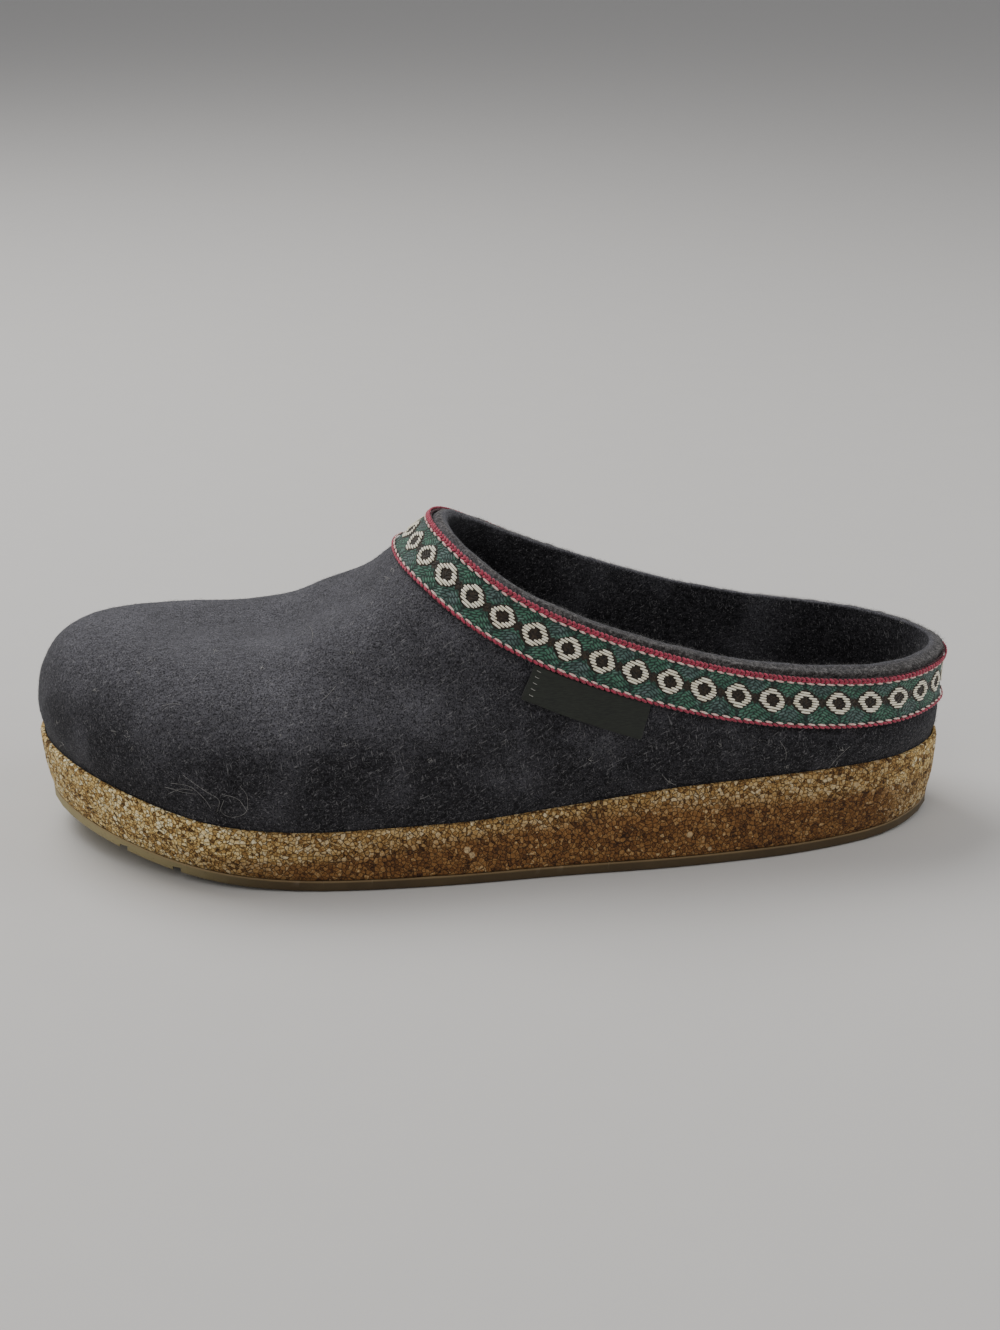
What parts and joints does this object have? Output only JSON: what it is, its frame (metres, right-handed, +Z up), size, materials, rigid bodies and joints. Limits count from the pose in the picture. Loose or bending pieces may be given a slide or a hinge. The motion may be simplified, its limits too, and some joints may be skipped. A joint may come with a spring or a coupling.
{
  "type": "clog slipper",
  "caption": "Closed-toe felt clog slipper with an open back, on a cork midsole with a thin rubber outsole and a woven ribbon round its collar.",
  "frame": {"origin": "middle of the shoe's box, on the floor that it stands on", "axes": "+X towards the toe, +Y towards the outer (lateral) side of this left shoe, +Z up"},
  "size_m": [0.2652, 0.0994, 0.093],
  "materials": {
    "rubber": "matt natural gum rubber",
    "cork": "raw ground cork set in latex",
    "insole_felt": "dark felt over a moulded footbed",
    "felt": "navy boiled wool felt with a short nap",
    "ribbon": "woven ribbon, green ground with cream rings and red edges",
    "satin": "bare dark satin tag"
  },
  "bodies": {
    "root": {"outsole": "rubber", "midsole": "cork", "insole": "insole_felt", "upper": "felt", "collar_ribbon": "ribbon", "tag": "satin"}
  },
  "joints": []
}
